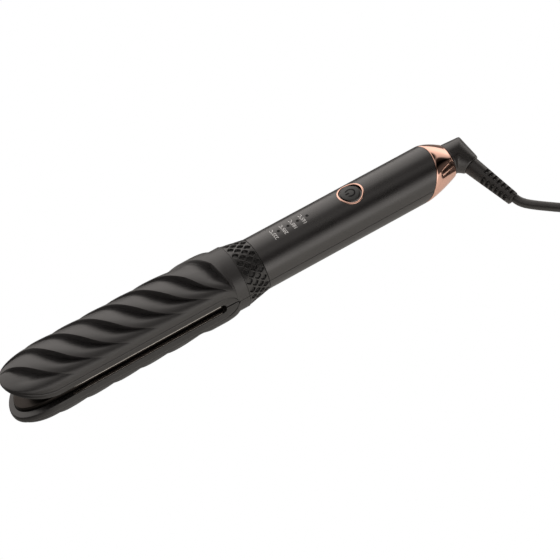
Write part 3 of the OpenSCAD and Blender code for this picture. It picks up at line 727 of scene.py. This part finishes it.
# ---------------------------------------------------------------- button and print
def on_shell(x, y, lift=0.0):
    """A place on the handle, x along it and y across it from the middle of the button."""
    return (BUTTON_X + x, y, AXIS_Z + math.sqrt(HANDLE_R ** 2 - y * y) + lift)


def ring_on_shell(r, down=0.0, n=128):
    """A ring of points of radius r round the button, sunk by down."""
    spots = [2 * math.pi * j / n for j in range(n)]
    return [on_shell(r * math.cos(t), r * math.sin(t), -down) for t in spots]


def wire_on_shell(r, half_w, half_h, n=14):
    """A closed wire round the button, half_w by half_h, that follows the round handle."""
    centre = [Vector(q) for q in ring_on_shell(r)]
    rows = []
    for j, q in enumerate(centre):
        along = (centre[(j + 1) % len(centre)] - centre[j - 1]).normalized()
        up = Vector((0, q.y, q.z - AXIS_Z)).normalized()
        side = along.cross(up).normalized()
        spots = [2 * math.pi * k / n for k in range(n)]
        rows.append([tuple(q + side * half_w * math.cos(t) + up * (half_h * math.sin(t))) for t in spots])
    return rows + [rows[0]]


def stroke(points, half, lift):
    """A narrow printed band along points (x, y) on the button."""
    rows = []
    for i, (x, y) in enumerate(points):
        a, b = points[max(0, i - 1)], points[min(len(points) - 1, i + 1)]
        t = math.atan2(b[1] - a[1], b[0] - a[0])
        rows.append([on_shell(x - half * math.sin(t), y + half * math.cos(t), lift),
                     on_shell(x + half * math.sin(t), y - half * math.cos(t), lift)])
    return rows


made("bezel_wire", wire_on_shell(7.5, 0.55, 0.42), "upper_arm", rose_gold, ("button_bezel",),
     split=80)
# The well between the bezel and the cap is a sheet coloured near-black ink: painted shade for the deep gap
# round the button.
WELL = ((7.35, 0), (7.05, 1.7), (5.6, 1.7))
made("button_well", [ring_on_shell(r, down) for r, down in WELL], "upper_arm", print_and_well_shade_black,
     split=50)
# The cap is dished: its face lies lowest in the middle, and its edge rolls over into the skirt.
CAP = ((0.02, 0.22), (1, 0.21), (2, 0.19), (3, 0.16), (4, 0.12), (4.8, 0.1), (5.3, 0.12), (5.6, 0.2),
       (5.78, 0.36), (5.82, 0.6), (5.82, 2.0))
made("button_cap", [list(reversed(ring_on_shell(r, down, 96))) for r, down in CAP], "power_button",
     button_grey, ("power_button",), split=70)
# The standard power mark: an open ring, and a bar that runs out through its gap.
MARK_R, MARK_HALF = 2.7, 0.4
arc = [(MARK_R * math.cos(math.radians(a)), MARK_R * math.sin(math.radians(a))) for a in range(-140, 141, 5)]
bar = [(-0.7 - 0.3 * k, 0) for k in range(9)]
made("power_mark_arc", stroke(arc, MARK_HALF, -0.1), "power_button", print_and_well_shade_black, close=False)
made("power_mark_bar", stroke(bar, MARK_HALF, -0.09), "power_button", print_and_well_shade_black, close=False)


def label(name, words, x_mid):
    """Words printed across the handle, wrapped round it, with their tops towards the barrel."""
    data = bpy.data.curves.new("words", "FONT")
    data.body = words
    data.size = 3.1
    data.offset = 0.035
    data.align_x = "CENTER"
    data.align_y = "CENTER"
    holder = bpy.data.objects.new("words", data)
    bpy.context.scene.collection.objects.link(holder)
    bpy.context.view_layer.update()
    me = bpy.data.meshes.new_from_object(holder)
    bpy.data.objects.remove(holder)
    r = HANDLE_R + 0.02
    for v in me.vertices:
        t = (v.co.x - 0.4) / HANDLE_R
        v.co = Vector((x_mid - v.co.y, r * math.sin(t), AXIS_Z + r * math.cos(t))) * MM
    me.materials.clear()
    me.materials.append(print_white)
    link(name, me, "upper_arm")


for k, degrees in enumerate((225, 205, 185, 165)):
    label("label_%d" % (k + 1), "%d\u00b0C" % degrees, LIGHT_X + LIGHT_PITCH * (k - 0.5))

# ---------------------------------------------------------------- cord
LEAD = [(160.3, -35.5, 5), (160.9, -37.6, 4.2), (162.1, -40.6, 3.15), (164.2, -44.3, 2.75),
        (167.6, -48.6, 2.75), (172.2, -53.6, 2.75), (178, -59.6, 2.75), (185, -66.6, 2.75),
        (193, -74.4, 2.75), (201, -81.5, 2.75), (208, -87, 2.75)]
# The lead ends on the coil's outer turn. The coil has four layers, each three cords across.
COIL_X, COIL_Y, COIL_R = 229.3, -58.6, 30.0
LAYERS, ACROSS = 4, 3
START = math.atan2(LEAD[-1][1] - COIL_Y, LEAD[-1][0] - COIL_X)
# It ends on the far side from the plug, and a bend takes the cord back across it into the plug's boot.
AWAY, ASIDE = Vector((0.6, -0.8, 0)), Vector((0.8, 0.6, 0))
WHOLE_TURNS = 11
TURN_END = 360 * WHOLE_TURNS + math.degrees(math.atan2(AWAY.y, AWAY.x) - START)
PLUG_RISE, BEND_R, BOOT = 9.6, 25, 3
PLUG_Z = CORD_D * (LAYERS - 0.5) + PLUG_RISE


def through(points, step=2.5):
    """Points about step apart on a smooth line through the given ones."""
    p = [Vector(q) for q in points]
    p = [2 * p[0] - p[1]] + p + [2 * p[-1] - p[-2]]
    out = []
    for i in range(1, len(p) - 2):
        n = max(2, round((p[i + 1] - p[i]).length / step))
        for j in range(n):
            t = j / n
            out.append(0.5 * ((2 * p[i]) + (p[i + 1] - p[i - 1]) * t
                              + (2 * p[i - 1] - 5 * p[i] + 4 * p[i + 1] - p[i + 2]) * t * t
                              + (3 * p[i] - p[i - 1] - 3 * p[i + 1] + p[i + 2]) * t ** 3))
    return out + [p[-2]]


# The coil is wound inwards, outwards, inwards and outwards, then up to the plug. Each move is (from, to,
# change of radius, change of height), with its ends in degrees of turn. The cord moves over in each turn of
# a layer but the last, in which it climbs to the next layer.
OVER_FROM, OVER_TO = 200, 270
CLIMB_FROM, CLIMB_TO = 995, 1065
PLUG_FROM, PLUG_TO = 3880, 4030
MOVES = []
for layer in range(LAYERS):
    wound = 360 * ACROSS * layer
    shift = CORD_D if layer % 2 else -CORD_D
    for k in range(ACROSS - 1):
        MOVES.append((wound + 360 * k + OVER_FROM, wound + 360 * k + OVER_TO, shift, 0))
    if layer < LAYERS - 1:
        MOVES.append((wound + CLIMB_FROM, wound + CLIMB_TO, 0, CORD_D))
MOVES.append((PLUG_FROM, PLUG_TO, 0, PLUG_RISE))


def coil_point(deg):
    """The cord's place after deg degrees of coil."""
    r, z = COIL_R + CORD_D, CORD_D / 2
    for a, b, dr, dz in MOVES:
        s = smooth((deg - a) / (b - a))
        r += dr * s
        z += dz * s
    t = START + math.radians(deg)
    return Vector((COIL_X + r * math.cos(t), COIL_Y + r * math.sin(t), z))


def last_bend(deg):
    """The cord's last bend, from the coil's outer turn inwards to the plug's boot."""
    out = COIL_R + CORD_D - BEND_R + BEND_R * math.cos(math.radians(deg))
    return Vector((COIL_X, COIL_Y, PLUG_Z)) + AWAY * out + ASIDE * BEND_R * math.sin(math.radians(deg))


route = (through(LEAD)[:-1] + [coil_point(5 * k) for k in range(int(TURN_END // 5) + 1)]
         + [last_bend(6 * k) for k in range(16)])
route.append(route[-1] - AWAY * BOOT)
curve = bpy.data.curves.new("cord", "CURVE")
curve.dimensions = "3D"
spline = curve.splines.new("POLY")
spline.points.add(len(route) - 1)
for q, v in zip(spline.points, route):
    q.co = (*(v * MM), 1)
curve.bevel_depth = CORD_D / 2 * MM
curve.bevel_resolution = 3
curve.use_fill_caps = True
curve.materials.append(cord_black)
cord = link("mains_cord", curve, "cord_set", ("cord_lead", "cord_coil", "cord_tail"))

# ---------------------------------------------------------------- floor
# What the tool reflects of the floor is pale on the near side, and dark behind the tool and past its tip.
# The camera sees it plain white.
floor = bpy.data.objects.new("floor", bpy.data.meshes.new("floor"))
bpy.context.scene.collection.objects.link(floor)
floor.data.from_pydata([(-3, -3, 0), (3, -3, 0), (3, 3, 0), (-3, 3, 0)], [], [(0, 1, 2, 3)])
ground = Mat("floor_finish")
spot = ground.split(ground.coord())
near_side = ground.ramp(spot["Y"], -0.02, 0.08, 1, 0)
pale = ground.maths("MULTIPLY", near_side, ground.ramp(spot["X"], -0.17, -0.13))
ground.link(ground.colours(pale, (0.12, 0.115, 0.11), (0.62, 0.60, 0.56)), ground.b.inputs["Base Color"])
ground.link(ground.colours(pale, (0.1, 0.1, 0.1), (1, 0.96, 0.90)), ground.b.inputs["Emission Color"])
ground.b.inputs["Roughness"].default_value = 0.9
ground.b.inputs["Emission Strength"].default_value = 0.4
ground.white_to_camera(ground.b.outputs[0], ground.node("ShaderNodeEmission").outputs[0],
                       ground.tree.nodes["Material Output"])
floor.data.materials.append(ground.m)

# ---------------------------------------------------------------- light
# A studio that is bright at the near horizon, dark above it, and brightens again past overhead and down to
# the far horizon. The stops of SKY are (angle, brightness), with the angle round the tool's axis as 0 at
# the near horizon, 0.5 overhead and 1 at the far horizon.
SOFTBOX = 1.5
TINT = (1, 0.945, 0.9)
SKY = ((0.0, 1.0), (0.08, 1.0), (0.15, 0.6), (0.21, 0.03), (0.29, 0.02), (0.34, 0.15), (0.42, 0.35),
       (0.55, 0.5), (0.68, 0.68), (0.8, 0.95), (0.9, 1.0), (1.0, 0.85))
# Dark flags in the studio: (direction, cosine at the edge, cosine of the full part, light left).
FLAGS = (((0.55, 0.06, 0.83), 0.90, 0.985, 0.03), ((0.81, -0.5, 0.31), 0.85, 0.92, 0.05),
         ((-0.88, -0.42, 0.22), 0.72, 0.92, 0.15))
world = bpy.data.worlds.new("world")
bpy.context.scene.world = world
world.use_nodes = True
studio = Nodes(world.node_tree)
sky = studio.tree.nodes["Background"]
toward = studio.node("ShaderNodeTexCoord").outputs["Generated"]
part = studio.split(toward)
swing = studio.maths("ARCTAN2", part["Z"], studio.maths("MULTIPLY", part["Y"], -1))
glow = studio.node("ShaderNodeValToRGB")
studio.link(studio.maths("DIVIDE", swing, math.pi), glow.inputs["Fac"])
glow.color_ramp.interpolation = "LINEAR"
while len(glow.color_ramp.elements) < len(SKY):
    glow.color_ramp.elements.new(0.5)
for e, (at, v) in zip(glow.color_ramp.elements, SKY):
    e.position = at
    e.color = (*(v * c for c in TINT), 1)
studio.link(glow.outputs["Color"], sky.inputs["Color"])
level = SOFTBOX
for direction, edge, full, left in FLAGS:
    flag = studio.node("ShaderNodeVectorMath", operation="DOT_PRODUCT")
    flag.inputs[1].default_value = direction
    studio.link(toward, flag.inputs[0])
    past_flag = studio.ramp(flag.outputs["Value"], edge, full, 1, left, "SMOOTHSTEP")
    level = studio.maths("MULTIPLY", past_flag, level)
studio.link(level, sky.inputs["Strength"])
white = studio.node("ShaderNodeBackground")
white.inputs["Color"].default_value = (1, 1, 1, 1)
studio.white_to_camera(sky.outputs[0], white.outputs[0], studio.tree.nodes["World Output"])

scene = bpy.context.scene
scene.view_settings.view_transform = "Standard"
scene.view_settings.look = "None"
